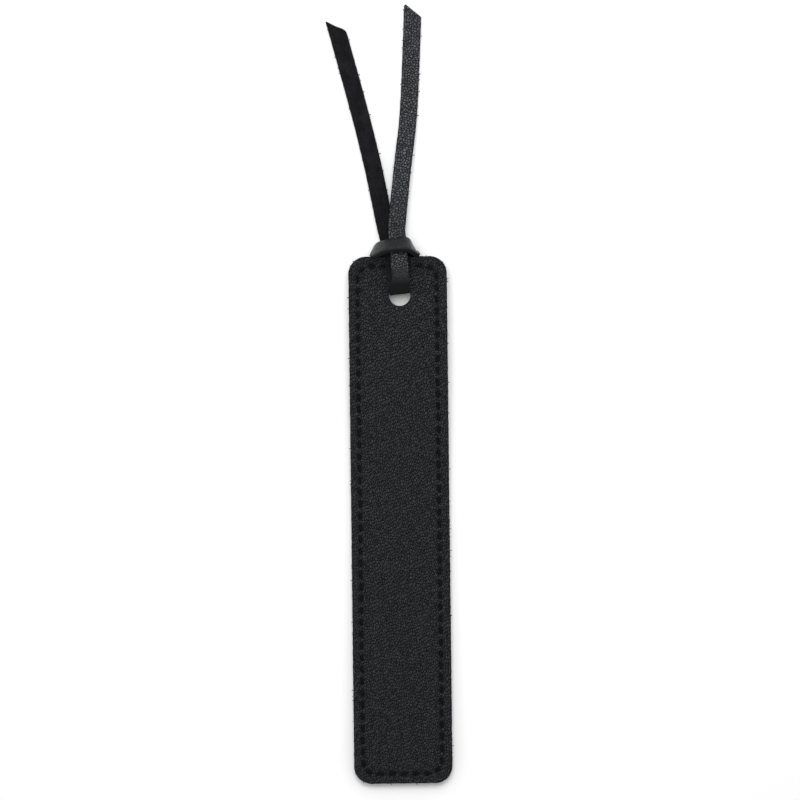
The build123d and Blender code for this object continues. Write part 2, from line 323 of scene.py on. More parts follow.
class FibreSettings(bpy.types.PropertyGroup):
    """Loose fibres along the raw cut edges."""

    length: length_setting("Length", "Length of the longest fibres", 0.00038)
    thickness: length_setting("Thickness", "Thickness of a fibre", 0.00021)
    gap: length_setting("Gap", "Mean distance from one fibre to the next", 0.005)
    seed: IntProperty(name="Seed", description="Seed of the fibres' places", default=7)


class StageSettings(bpy.types.PropertyGroup):
    """Floor, light and camera."""

    floor_size: length_setting("Floor", "Length of the floor's sides", 3.0)
    floor_colour: colour_setting("Floor colour", "Colour of the floor", (0.93, 0.93, 0.93))
    sky_strength: number_setting("Sky", "Strength of the light all round", 1.65)
    sky_slope: number_setting("Sky slope", "How much brighter it is beyond the lace", 0.1, subtype="FACTOR")
    sky_hollow: number_setting("Sky hollow", "How much darker it is overhead", 0.9, subtype="FACTOR")
    key_power: number_setting("Key", "Power of the soft lamp above the lace", 0.68, unit="POWER")
    view_width: length_setting("View width", "Width of the table that the camera sees", 0.18234)
    lens: number_setting("Lens", "Focal length of the camera", 300.0, unit="CAMERA")


def spaced(first, last, step):
    """Even steps from the first value to the last, about this long."""
    count = max(1, round((last - first) / step))
    return [first + (last - first) * k / count for k in range(count + 1)]


def chain(*runs):
    """Runs of values joined end to end, each shared end once."""
    values = list(runs[0])
    for run in runs[1:]:
        values.extend(run[1:])
    return values


def between(first, last, share):
    """Value this share of the way from the first to the last."""
    return first + (last - first) * share


def new_piece(name, mesh, material):
    """Object of this mesh in the scene, with its material."""
    piece = bpy.data.objects.new(name, mesh)
    bpy.context.scene.collection.objects.link(piece)
    if material is not None:
        mesh.materials.append(material)
    return piece


def smooth_mesh(name, points, faces, masks):
    """Smooth mesh with a float attribute for each named mask."""
    mesh = bpy.data.meshes.new(name)
    mesh.from_pydata(points, [], faces)
    mesh.polygons.foreach_set("use_smooth", [True] * len(mesh.polygons))
    for mask, values in masks.items():
        attribute = mesh.attributes.new(mask, "FLOAT", "POINT")
        attribute.data.foreach_set("value", np.array(values, np.float32))
    mesh.update()
    return mesh


def back_height(y, panel):
    """Height of the panel's back face above the table."""
    slope = atan2(lift, panel.rise_run)
    reach = bend_share * hypot(lift, panel.rise_run)
    radius = reach / tan(slope / 2)
    low = edge - panel.rise_from_edge
    high = low + panel.rise_run
    if y <= low - reach:
        return 0.0
    if y <= low + reach * cos(slope):
        return radius - sqrt(radius**2 - (y - low + reach) ** 2)
    if y <= high - reach * cos(slope):
        return (y - low) * tan(slope)
    if y <= high + reach:
        return lift - radius + sqrt(radius**2 - (high + reach - y) ** 2)
    return lift


def seam_stitches(seam):
    """Middle and heading of each stitch round the panel, on a rectangle with round corners."""
    half_x = half_width - seam.inset - seam.corner
    half_y = edge - seam.inset - seam.corner
    arc = seam.corner * pi / 2
    sides = [2 * half_x, 2 * half_y, 2 * half_x, 2 * half_y]
    corners = [Vector((half_x * x, half_y * y)) for x, y in ((1, -1), (1, 1), (-1, 1), (-1, -1))]
    length = sum(sides) + 4 * arc
    count = round(length / seam.pitch)
    holes = []
    for k in range(count):
        run = (seam.start + k * length / count) % length
        for side, corner in enumerate(corners):
            turn = side * pi / 2
            ahead = Vector((cos(turn), sin(turn)))
            out = Vector((sin(turn), -cos(turn)))
            if run <= sides[side]:
                holes.append(corner + ahead * (run - sides[side]) + out * seam.corner)
                break
            run -= sides[side]
            if run <= arc:
                angle = run / seam.corner
                holes.append(corner + (out * cos(angle) + ahead * sin(angle)) * seam.corner)
                break
            run -= arc
    shift = Vector((seam.shift, 0))
    stitches = []
    for k, hole in enumerate(holes):
        last = holes[(k + 1) % count]
        stitches.append(((hole + last) / 2 + shift, (last - hole).normalized()))
    return stitches


def dimples(plan, stitches, seam):
    """Shares from 0 to 1, at each place, of the press of a stitch and of the pull of the seam round it."""
    places = np.array(plan)
    middles = np.array([middle for middle, heading in stitches])
    headings = np.array([heading for middle, heading in stitches])
    offsets = places[:, None, :] - middles[None, :, :]
    along = np.abs((offsets * headings).sum(2)) / (seam.pitch / 2)
    across = (offsets[:, :, 0] * headings[:, 1] - offsets[:, :, 1] * headings[:, 0]) / seam.thread
    pressed = np.exp(-((along / press_along) ** 4)) * np.exp(-((across / press_across) ** 2))
    pulled = np.exp(-((along / pull_along) ** 2)) * np.exp(-((across / pull_across) ** 2))
    return pressed.max(1), pulled.max(1)


def hole_middle(panel):
    """Middle of the punched hole, from above."""
    return Vector((panel.hole_offset, edge - panel.hole_to_edge))


def ply_grid(panel, seam):
    """Points of a ply's face from above, row by row, with its columns, its rows and the hole's block."""
    half_x = half_width - panel.edge_rounding
    radius = panel.corner_radius - panel.edge_rounding
    straight = edge - panel.edge_rounding - radius
    hole = hole_middle(panel)
    patch = panel.hole_radius * hole_block
    fine = panel.grain_step
    plain = fine * plain_step
    zone = half_x - seam_strip * seam.inset
    columns = chain(
        spaced(-half_x, -zone, fine),
        spaced(-zone, hole.x - patch, plain),
        spaced(hole.x - patch, hole.x + patch, plain),
        spaced(hole.x + patch, zone, plain),
        spaced(zone, half_x, fine),
    )
    corner = [straight + radius * sin(turn) for turn in spaced(0.0, pi / 2, pi / 2 / corner_steps)]
    rows = chain(
        [-y for y in reversed(corner)],
        spaced(-straight, hole.y - patch, fine),
        spaced(hole.y - patch, hole.y + patch, plain),
        spaced(hole.y + patch, straight, fine),
        corner,
    )
    plan = []
    for y in rows:
        over = max(abs(y) - straight, 0)
        share = (half_x - radius + sqrt(max(radius**2 - over**2, 0))) / half_x
        plan.extend((x * share, y) for x in columns)
    near = patch + fine / 10
    hole_columns = [k for k, x in enumerate(columns) if abs(x - hole.x) < near]
    hole_rows = [k for k, y in enumerate(rows) if abs(y - hole.y) < near]
    block = (hole_columns[0], hole_columns[-1], hole_rows[0], hole_rows[-1])
    return plan, len(columns), len(rows), block


def grid_loop(width, left, right, bottom, top):
    """Numbers of the grid's points round a block of cells, turning left."""
    cells = [bottom * width + k for k in range(left, right)]
    cells += [k * width + right for k in range(bottom, top)]
    cells += [top * width + k for k in range(right, left, -1)]
    cells += [k * width + left for k in range(top, bottom, -1)]
    return cells


class PlyShell:
    """Points of a ply from above, with their heights and masks, and the faces between them."""

    def __init__(self):
        self.places, self.heights, self.cut, self.pressed, self.faces = [], [], [], [], []

    def add(self, spots, heights, worn, pressed):
        """New points. Gives their numbers."""
        first = len(self.places)
        self.places.extend(spots)
        self.heights.extend(heights)
        self.cut.extend([worn] * len(spots))
        self.pressed.extend(pressed)
        return list(range(first, len(self.places)))

    def ring(self, spots, height, worn):
        """New points at one height."""
        return self.add(spots, [height] * len(spots), worn, [0.0] * len(spots))

    def bridge(self, upper, lower):
        """Faces between two rings that turn left, the upper one first."""
        for k in range(len(upper)):
            self.faces.append((upper[k - 1], lower[k - 1], lower[k], upper[k]))


def wear_edge(shell, plan, outline, outer, panel):
    """Cut edge from the grain face down to the inner face, worn round and a little ragged."""
    rounding = panel.edge_rounding
    inner_x = half_width - panel.corner_radius
    inner_y = edge - panel.corner_radius
    # Past this the corners' last points already face straight out of the panel's end
    end_y = edge - rounding - panel.grain_step / 10
    ways = []
    for x, y in (plan[k] for k in outline):
        over_x = 0.0 if abs(y) > end_y else max(abs(x) - inner_x, 0)
        over_y = max(abs(y) - inner_y, 0)
        ways.append(Vector((copysign(over_x, x), copysign(over_y, y))).normalized())
    turns = spaced(0.0, pi / 2, pi / 2 / rounding_steps)[1:]
    steps = [(sin(turn), ply - rounding * (1 - cos(turn)), turn / (pi / 2)) for turn in turns]
    steps += [(out, ply * height, 1.0) for out, height in edge_foot]
    upper = [outer + k for k in outline]
    for out, rise, worn in steps:
        spots = []
        for k, way in zip(outline, ways):
            ragged = 1 + edge_ragged * noise.noise(Vector((*plan[k], rise)) / edge_wave) * out
            spots.append(tuple(Vector(plan[k]) + way * rounding * out * ragged))
        lower = shell.ring(spots, rise, worn)
        shell.bridge(upper, lower)
        upper = lower
    shell.bridge(upper, outline)


def punch_hole(shell, plan, rim, outer, panel):
    """Wall of the hole from the grain face down to the inner face, with its rim on both faces."""
    hole = hole_middle(panel)
    radius, rounding = panel.hole_radius, panel.edge_rounding
    worn_radius = radius + rounding * hole_wear

    def circle(size, share=1.0):
        """Points of the hole's block carried this share of the way to a circle."""
        places = [Vector(plan[k]) for k in rim]
        return [tuple(place.lerp(hole + (place - hole).normalized() * size, share)) for place in places]

    walls = [(circle(worn_radius, share), ply, 0.0) for share in (*hole_rings, 1.0)]
    for out, depth, worn in hole_lip:
        walls.append((circle(radius + rounding * out), ply - rounding * depth, worn))
    walls.append((circle(radius), 0.0, 1.0))
    walls += [(circle(worn_radius, share), 0.0, 0.0) for share in reversed(hole_rings)]
    upper = [outer + k for k in rim]
    for spots, rise, worn in walls:
        lower = shell.ring(spots, rise, worn)
        shell.bridge(lower, upper)
        upper = lower
    shell.bridge(rim, upper)


def ply_mesh(name, panel, seam, stitches, outer_up):
    """One leather ply: a pressed grain face, a plain inner face, worn cut edges and the punched hole."""
    plan, width, height, (left, right, bottom, top) = ply_grid(panel, seam)
    press, pull = dimples(plan, stitches, seam)
    shell = PlyShell()
    shell.ring(plan, 0.0, 0.0)
    # The press share sinks each dimple and also masks the painted shade in it
    outer = shell.add(plan, ply - seam.dimple * (press_depth * press + pull_depth * pull), 0.0, press)[0]
    quads = []
    for row in range(height - 1):
        for column in range(width - 1):
            if not (bottom <= row < top and left <= column < right):
                first = row * width + column
                quads.append((first, first + 1, first + width + 1, first + width))
    shell.faces += [quad[::-1] for quad in quads]
    shell.faces += [tuple(outer + k for k in quad) for quad in quads]
    wear_edge(shell, plan, grid_loop(width, 0, width - 1, 0, height - 1), outer, panel)
    punch_hole(shell, plan, grid_loop(width, left, right, bottom, top), outer, panel)
    points = []
    for (x, y), rise in zip(shell.places, shell.heights):
        points.append((x, y, back_height(y, panel) + ply + (rise if outer_up else -rise)))
    faces = shell.faces if outer_up else [face[::-1] for face in shell.faces]
    return smooth_mesh(name, points, faces, {"cut": shell.cut, "pressed": shell.pressed})


def over_edge(offset, lace):
    """Side view of a strand that lies on the panel, bends over its top edge and comes down to the table."""
    drop = front_face + lace.lay_gap - lace.table_gap
    head = edge + head_gap * lace.lay_gap
    foot = head + drop / tan(lace.slope) + lace.foot_radius * tan(lace.slope / 2)
    radius = lace.foot_radius - offset
    level = lace.table_gap - lace.lay_gap
    turns = spaced(0.0, lace.slope, lace.slope / 3)
    steps = []
    for turn in turns:
        steps.append((foot - radius * sin(turn), lace.foot_radius + level - radius * cos(turn)))
    for turn in reversed(turns):
        steps.append((head + offset * sin(turn), front_face + offset * cos(turn)))
    return steps


def through_hole(inner_radius, lace, wall_y):
    """Side view of a strand that folds into the punched hole and out again behind the panel."""
    radius = inner_radius + lace.hole_thickness / 2
    centre_y = wall_y + lace.fold_radius
    above = front_face + lace.lay_gap - lace.fold_radius
    below = lift - lace.lay_gap + lace.fold_radius
    turns = [radians(turn) for turn in (0, 30, 60, 90)]
    steps = [(centre_y - radius * sin(turn), above + radius * cos(turn)) for turn in turns]
    steps += [(centre_y - radius * sin(turn), below - radius * cos(turn)) for turn in reversed(turns)]
    return steps


def flat_run(points, side, widths, thicknesses, drawn, turned=0.0, slant=0.0, square=False):
    """Stations of a run of lace: its edges, its thickness, which side is out and how tight it is drawn."""
    stations = []
    for k, point in enumerate(points):
        across = Vector((side, side * slant, 0))
        if square:
            ahead = (points[min(k + 1, len(points) - 1)] - points[max(k - 1, 0)]).normalized()
            across = (across - ahead * across.dot(ahead)).normalized()
        half = across * (widths[k] / 2)
        stations.append((point - half, point + half, thicknesses[k], turned, drawn[k]))
    return stations


def front_strand(offset, lace, pivot, edge_x, neck_x):
    """Middle of a strand from the slope's foot over the top edge to the neck above the hole."""
    points = []
    for along, up in over_edge(offset, lace):
        share = (pivot.y - along) / (pivot.y - edge)
        points.append(Vector((between(pivot.x, edge_x, share), along, up)))
    for share in (0.5, 1.0):
        x = between(edge_x, neck_x, share)
        points.append(Vector((x, edge - neck_from_edge * share, front_face + offset)))
    return points


def smooth(stations):
    """Stations with one more between each pair, on a curve through its four nearest neighbours."""
    result = [stations[0]]
    for k in range(len(stations) - 1):
        four = [stations[min(max(k + step, 0), len(stations) - 1)] for step in (-1, 0, 1, 2)]
        edges = []
        for side in (0, 1):
            before, first, last, after = [station[side] for station in four]
            edges.append(((first + last) * 9 - (before + after)) / 16)
        thickness = (four[1][2] + four[2][2]) / 2
        turned = (four[1][3] + four[2][3]) / 2
        drawn = (four[1][4] + four[2][4]) / 2
        result.append((edges[0], edges[1], thickness, turned, drawn))
        result.append(stations[k + 1])
    return result


def hole_strand(inner_radius, panel, lace, wall_y):
    """Middle of a strand that passes through the hole, from the front to the back."""
    return [Vector((panel.hole_offset, y, z)) for y, z in through_hole(inner_radius, lace, wall_y)]


def back_leg(leg_end, heights, panel, lace, wall_y):
    """Middle of a leg behind the panel, from the hole to an end of the collar."""
    end_x, from_edge = leg_end
    points = []
    for share, height in zip(leg_shares, heights):
        y = between(wall_y + lace.fold_radius, edge - from_edge, share)
        points.append(Vector((between(panel.hole_offset, end_x, share), y, height)))
    return points


def hitch_stations(panel, lace):
    """Stations of the hitch, from the left tail through the hole and round the strands to the right tail."""
    left, right = joint_places["left_tail_swing"], joint_places["right_tail_swing"]
    thin, thick, gap = lace.hole_thickness, lace.thickness, lace.lay_gap
    lower = front_strand(gap + thick / 2, lace, left, lower_edge_x, lower_neck_x)
    upper = front_strand(2 * gap + 1.5 * thick, lace, right, upper_edge_x, upper_neck_x)
    wide, full = [lace.width] * len(lower), [thick] * len(lower)
    drawn = [drawn_loose] * (len(lower) - 2) + [drawn_slightly, drawn_down]
    lower_front = flat_run(lower, 1, wide, full, drawn, turned=1.0)
    upper_front = flat_run(upper[::-1], -1, wide, full, drawn[::-1])

    hole_y = edge - panel.hole_to_edge
    wall_y = hole_y + sqrt(panel.hole_radius**2 - (lace.hole_width / 2) ** 2) - gap
    lower = hole_strand(lace.fold_radius, panel, lace, wall_y)
    upper = hole_strand(lace.fold_radius + thin + gap, panel, lace, wall_y)
    gathered = [between(lace.leg_width, lace.hole_width, share) for share in gathering]
    neck, full, drawn = [lace.neck_width] * len(upper), [thin] * len(upper), [drawn_tight_and_shaded] * len(upper)
    lower_hole = flat_run(lower, 1, gathered + gathered[::-1], full, drawn, slant=hole_slant)
    upper_hole = flat_run(upper[::-1], -1, neck, full, drawn, slant=hole_slant)

    lower_heights = [lower[-1].z] * 2 + [lift - 2 * gap - thick / 2]
    upper_heights = [upper[-1].z] * 2 + [gap + thick / 2]
    lower = back_leg(left_leg_end, lower_heights, panel, lace, wall_y)
    upper = back_leg(right_leg_end, upper_heights, panel, lace, wall_y)
    wide, full = [lace.leg_width, lace.width, lace.width], [thin, thin, thick]
    drawn = [drawn_round] * len(wide)
    lower_back = flat_run(lower, 1, wide, full, drawn, square=True)
    upper_back = flat_run(upper[::-1], -1, wide[::-1], full[::-1], drawn, square=True)

    origin = Vector((0, edge, front_face))
    collar = []
    for lip, hood in collar_edges:
        collar.append((origin + Vector(lip), origin + Vector(hood), thick, 0.0, drawn_round))
    stations = lower_front + lower_hole + lower_back + collar + upper_back + upper_hole + upper_front
    return smooth(smooth(stations))


def lace_section():
    """Round the lace's section: share of its width, height in half thicknesses, wear."""
    spread = spaced(worn_corner, 1 - worn_corner, (1 - 2 * worn_corner) / section_steps)
    low, high = worn_corner / 4, 1 - worn_corner / 4
    section = [(share, 1.0 + crown * sin(pi * share), 0.0) for share in spread]
    section += [(high, worn_height, corner_wear), (1.0, 0.0, 1.0), (high, -worn_height, corner_wear)]
    section += [(share, -1.0, 0.0) for share in reversed(spread)]
    section += [(low, -worn_height, corner_wear), (0.0, 0.0, 1.0), (low, worn_height, corner_wear)]
    return section


def lace_mesh(name, stations, lace, start=0.0):
    """Closed lace whose flat section passes through each station, with worn edges and a slight crown."""
    section = lace_section()
    count = len(section)
    middles = [(station[0] + station[1]) / 2 for station in stations]
    points, lays = [], []
    masks = {"cut": [], "grain": [], "tight": []}
    run = start
    for k, (first, second, thickness, turned, drawn) in enumerate(stations):
        before, after = middles[max(k - 1, 0)], middles[min(k + 1, len(stations) - 1)]
        run += (middles[k] - before).length
        ahead = (after - middles[k]).normalized() + (middles[k] - before).normalized()
        half = ahead.cross(second - first).normalized() * (thickness / 2)
        for share, rise, worn in section:
            place = Vector((run, share * lace.width, rise * lace.thickness / 2))
            ragged = lace_ragged * worn * noise.noise(place / lace_wave)
            outward = (second - first).normalized() * (1 if share > 0.5 else -1)
            points.append(tuple(first.lerp(second, share) + half * rise + outward * ragged))
            lays.append((run, share * lace.width + (0.0 if rise >= 0 else lower_lay)))
            masks["cut"].append(worn)
            masks["grain"].append(1 - turned if rise > 0 else turned)
            masks["tight"].append(drawn)
    faces = [tuple(range(count)), tuple(len(points) - 1 - k for k in range(count))]
    rims = set(faces[0] + faces[1])
    for first in range(0, len(points) - count, count):
        for k in range(count):
            beside = (k + 1) % count
            faces.append((first + k, first + count + k, first + count + beside, first + beside))
    mesh = smooth_mesh(name, points, faces, masks)
    for line in mesh.edges:
        line.use_edge_sharp = rims.issuperset(line.vertices)
    lay = mesh.uv_layers.new(name="lay")
    for loop in mesh.loops:
        lay.data[loop.index].uv = lays[loop.vertex_index]
    return mesh


def tail_line(points):
    """Points of the smooth line that a tail follows, from its route's points."""
    curve = bpy.data.curves.new("tail_line", "CURVE")
    curve.dimensions = "3D"
    curve.resolution_u = 24
    spline = curve.splines.new("NURBS")
    spline.points.add(len(points) - 1)
    for place, point in zip(spline.points, points):
        place.co = (*point, 1.0)
    spline.order_u = 3
    spline.use_endpoint_u = True
    holder = bpy.data.objects.new("tail_line", curve)
    bpy.context.scene.collection.objects.link(holder)
    bpy.context.view_layer.update()
    mesh = bpy.data.meshes.new_from_object(holder.evaluated_get(bpy.context.evaluated_depsgraph_get()))
    line = [vertex.co.copy() for vertex in mesh.vertices]
    bpy.data.objects.remove(holder)
    bpy.data.curves.remove(curve)
    bpy.data.meshes.remove(mesh)
    return line


def along_line(line, distance):
    """Place and heading at this distance along a line, carried on straight past its ends."""
    for k in range(len(line) - 1):
        step = line[k + 1] - line[k]
        if distance <= step.length or k == len(line) - 2:
            return line[k] + step.normalized() * distance, step.normalized()
        distance -= step.length


def line_length(line):
    """Length of a line of points."""
    return sum((last - first).length for first, last in zip(line, line[1:]))


def tail_stations(line, lace, turned, tip_wear):
    """Stations of a tail's end along its line, sheared towards the slanted tip with its worn corners."""
    length = line_length(line)
    plain = length - tip_stretch
    stations = []
    for distance in chain(spaced(0.0, plain, lace_step), spaced(plain, length, tip_step)):
        shear = tan(tip_slant) * max(0.0, 1 - (length - distance) / tip_lean)
        edges = []
        for side, worn in zip((1, -1), tip_wear):
            place, heading = along_line(line, distance - side * shear * lace.width / 2)
            across = heading.cross(Vector((0, 0, 1))).normalized()
            near = max(0.0, 1 - (length - distance) / worn)
            reach = lace.width / 2 - tip_wear_depth * worn * (1 - sqrt(1 - near**2))
            edges.append(place + across * (side * reach))
        stations.append((edges[0], edges[1], lace.thickness, turned, drawn_loose))
    return stations


def tail_axis(side):
    """Swing pivot of a tail, its lift hinge brought to the same height, and the way between them."""
    pivot = joint_places[side + "_tail_swing"]
    hinge = joint_places[side + "_tail_lift"].copy()
    hinge.z = pivot.z
    return pivot, hinge, (hinge - pivot).normalized()


def lay_root(side, first, second, turned, lace, leather):
    """First stretch of a tail, from the two edges of the hitch's end to the swing pivot and straight on past
    it.
    """
    pivot, _, ahead = tail_axis(side)
    across = ahead.cross(Vector((0, 0, 1))) * (lace.width / 2)
    stations = [(first, second, lace.thickness, turned, drawn_loose)]
    for distance in spaced(0.0, lace.root_length, lace_step):
        place = pivot + ahead * distance
        stations.append((place + across, place - across, lace.thickness, turned, drawn_loose))
    root = new_piece(side + "_tail_root_lace", lace_mesh(side + "_root", smooth(stations), lace), leather)
    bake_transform(root)
    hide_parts(side + "_tail_base")


def lay_end(side, route, turned, tip_wear, lace, fibre, leather):
    """Rest of a tail, with its loose fibres, from the root's end past the lift hinge to the tip."""
    pivot, hinge, ahead = tail_axis(side)
    shoulder = pivot + ahead * lace.root_length
    heights = [pivot.z] + [lace.thickness / 2] * (len(route) - 1)
    points = [shoulder, hinge]
    for (x, y), height in zip(route, heights):
        points.append(Vector((pivot.x + x, pivot.y + y, height)))
    line = tail_line(points)
    run = tail_stations(line, lace, turned, tip_wear)
    mesh = lace_mesh(side + "_end", run, lace, lace.root_length)
    end = new_piece(side + "_tail_lace", mesh, leather)
    fibres = fuzz(side + "_tail_fibres", lace_rim(run), fibre, leather)
    for piece in (end, fibres):
        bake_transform(piece)
    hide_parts(side + "_tail_end")


def node(tree, kind, **inputs):
    """New node with its input values set by name."""
    made = tree.nodes.new(kind)
    for name, value in inputs.items():
        made.inputs[name.replace("_", " ")].default_value = value
    return made


def join(tree, source, output, target, entry):
    """Link from a node's output to another node's input."""
    tree.links.new(source.outputs[output], target.inputs[entry])


def maths(tree, operation, *values):
    """Math node on outputs or plain numbers."""
    made = tree.nodes.new("ShaderNodeMath")
    made.operation = operation
    for entry, value in zip(made.inputs, values):
        if isinstance(value, (int, float)):
            entry.default_value = value
        else:
            tree.links.new(value, entry)
    return made.outputs[0]


def ramp(tree, value, low, high):
    """Smooth step of a value from 0 at low to 1 at high."""
    made = tree.nodes.new("ShaderNodeMapRange")
    made.interpolation_type = "SMOOTHSTEP"
    made.inputs["From Min"].default_value = low
    made.inputs["From Max"].default_value = high
    tree.links.new(value, made.inputs["Value"])
    return made.outputs["Result"]


def mix_colours(tree, share, first, second):
    """Mix of two colours, each a socket or a plain colour."""
    made = tree.nodes.new("ShaderNodeMix")
    made.data_type = "RGBA"
    tree.links.new(share, made.inputs["Factor"])
    for entry, value in (("A", first), ("B", second)):
        socket = [spot for spot in made.inputs if spot.name == entry and spot.type == "RGBA"][0]
        if isinstance(value, bpy.types.NodeSocket):
            tree.links.new(value, socket)
        else:
            socket.default_value = (*value, 1.0)
    return [spot for spot in made.outputs if spot.type == "RGBA"][0]


def shades(tree, share, colour, dark, light):
    """Shades of a colour, from a dark to a light multiple of it."""
    first = tuple(value * dark for value in colour)
    last = tuple(value * light for value in colour)
    return mix_colours(tree, share, first, last)


def from_axes(tree, **axes):
    """Vector whose named axes come from sockets. The others are 0."""
    made = tree.nodes.new("ShaderNodeCombineXYZ")
    for axis, value in axes.items():
        tree.links.new(value, made.inputs[axis])
    return made.outputs[0]


def texture_group(name, sizes, outputs):
    """Shader node group that takes a place and sizes, and that place in steps of the first size."""
    tree = bpy.data.node_groups.new(name, "ShaderNodeTree")
    tree.interface.new_socket(name="Vector", in_out="INPUT", socket_type="NodeSocketVector")
    for size in sizes:
        tree.interface.new_socket(name=size, in_out="INPUT", socket_type="NodeSocketFloat")
    for output in outputs:
        tree.interface.new_socket(name=output, in_out="OUTPUT", socket_type="NodeSocketFloat")
    entry = tree.nodes.new("NodeGroupInput")
    scaled = tree.nodes.new("ShaderNodeVectorMath")
    scaled.operation = "SCALE"
    join(tree, entry, "Vector", scaled, 0)
    tree.links.new(maths(tree, "DIVIDE", 1.0, entry.outputs[sizes[0]]), scaled.inputs["Scale"])
    return tree, entry, scaled


def pebbled_grain():
    """Node group of a leather grain: pebbles with creases between them, each a little different."""
    sizes, outputs = ("Pebble", "Wander"), ("Height", "Crease", "Tone")
    tree, entry, scaled = texture_group("pebbled_grain", sizes, outputs)
    wander = entry.outputs["Wander"]
    drift = node(tree, "ShaderNodeTexNoise", Scale=0.9, Detail=3.0)
    join(tree, scaled, 0, drift, "Vector")
    bent = tree.nodes.new("ShaderNodeVectorMath")
    bent.operation = "MULTIPLY_ADD"
    join(tree, drift, "Color", bent, 0)
    tree.links.new(from_axes(tree, X=wander, Y=wander, Z=wander), bent.inputs[1])
    join(tree, scaled, 0, bent, 2)
    cells = node(tree, "ShaderNodeTexVoronoi", Scale=1.0, Randomness=0.95)
    cells.feature = "DISTANCE_TO_EDGE"
    tones = node(tree, "ShaderNodeTexVoronoi", Scale=1.0, Randomness=0.95)
    for pebbles in (cells, tones):
        pebbles.voronoi_dimensions = "2D"
        join(tree, bent, 0, pebbles, "Vector")
    split = tree.nodes.new("ShaderNodeSeparateColor")
    join(tree, tones, "Color", split, "Color")
    fine = node(tree, "ShaderNodeTexNoise", Scale=3.4, Detail=4.0, Roughness=0.62)
    join(tree, scaled, 0, fine, "Vector")
    dome = ramp(tree, cells.outputs["Distance"], low=0.0, high=0.34)
    level = maths(tree, "MULTIPLY", split.outputs[0], level_height)
    height = maths(tree, "ADD", maths(tree, "MULTIPLY", dome, dome_height), level)
    height = maths(tree, "MULTIPLY_ADD", fine.outputs["Fac"], fine_height, height)
    crease = maths(tree, "SUBTRACT", 1.0, ramp(tree, cells.outputs["Distance"], low=0.01, high=0.2))
    varied = maths(tree, "MULTIPLY_ADD", split.outputs[1], 0.5, 0.5)
    tone = maths(tree, "MULTIPLY_ADD", fine.outputs["Fac"], 0.25, maths(tree, "MULTIPLY", dome, varied))
    out = tree.nodes.new("NodeGroupOutput")
    for name, value in zip(outputs, (height, crease, tone)):
        tree.links.new(value, out.inputs[name])
    return tree


def fleshy_nap():
    """Node group of the flesh side's nap: short fibres and soft clouds."""
    tree, _, scaled = texture_group("fleshy_nap", ("Fibre",), ("Height", "Tone"))
    fibres = node(tree, "ShaderNodeTexNoise", Scale=1.0, Detail=5.0, Roughness=0.7, Distortion=1.2)
    clouds = node(tree, "ShaderNodeTexNoise", Scale=0.16, Detail=2.0)
    for pattern in (fibres, clouds):
        join(tree, scaled, 0, pattern, "Vector")
    cloudy = maths(tree, "MULTIPLY", clouds.outputs["Fac"], 0.4)
    tone = maths(tree, "MULTIPLY_ADD", fibres.outputs["Fac"], 0.6, cloudy)
    out = tree.nodes.new("NodeGroupOutput")
    join(tree, fibres, "Fac", out, "Height")
    tree.links.new(tone, out.inputs["Tone"])
    return tree


def texture(tree, maker, place, **sizes):
    """Node of a texture group, which is made the first time that it is asked for."""
    made = tree.nodes.new("ShaderNodeGroup")
    made.node_tree = bpy.data.node_groups.get(maker.__name__) or maker()
    for name, value in sizes.items():
        made.inputs[name].default_value = value
    tree.links.new(place, made.inputs["Vector"])
    return made


def bump(tree, shader, height, strength, distance):
    """Relief of a shader."""
    made = node(tree, "ShaderNodeBump", Strength=strength, Distance=distance)
    tree.links.new(height, made.inputs["Height"])
    join(tree, made, "Normal", shader, "Normal")


def new_material(name):
    """Empty material with its shader and output."""
    material = bpy.data.materials.new(name)
    material.use_nodes = True
    tree = material.node_tree
    tree.nodes.clear()
    shader = tree.nodes.new("ShaderNodeBsdfPrincipled")
    out = tree.nodes.new("ShaderNodeOutputMaterial")
    join(tree, shader, "BSDF", out, "Surface")
    return material, tree, shader


def mask(tree, name):
    """Value of a mesh's own mask."""
    made = tree.nodes.new("ShaderNodeAttribute")
    made.attribute_name = name
    return made.outputs["Fac"]


def panel_leather(panel):
    """Grain leather of the two plies, with dark creases, a raw cut edge and painted shade in the stitch
    dimples.
    """
    material, tree, shader = new_material("pebbled_panel_leather")
    place = tree.nodes.new("ShaderNodeTexCoord")
    turn = tree.nodes.new("ShaderNodeMapping")
    turn.vector_type = "TEXTURE"
    turn.inputs["Rotation"].default_value = (0, 0, grain_turn)
    turn.inputs["Scale"].default_value = (grain_stretch, 1.0, 1.0)
    join(tree, place, "Object", turn, "Vector")
    grain = texture(tree, pebbled_grain, turn.outputs[0], Pebble=panel.pebble, Wander=0.7)
    light = ramp(tree, grain.outputs["Tone"], low=0.15, high=0.95)
    colour = shades(tree, light, panel.colour, dark=0.0, light=3.8)
    # Painted shade: the stitch dimples are darkened to the cut edge's colour, like the real cut edges
    dark = maths(tree, "MAXIMUM", mask(tree, "cut"), mask(tree, "pressed"))
    colour = mix_colours(tree, dark, colour, panel.cut_colour)
    tree.links.new(colour, shader.inputs["Base Color"])
    dull = maths(tree, "MAXIMUM", grain.outputs["Crease"], dark)
    rough = maths(tree, "MULTIPLY_ADD", dull, dull_roughness, panel_roughness)
    tree.links.new(rough, shader.inputs["Roughness"])
    shader.inputs["Specular IOR Level"].default_value = 0.1
    bump(tree, shader, grain.outputs["Height"], strength=0.5, distance=0.0003)
    return material


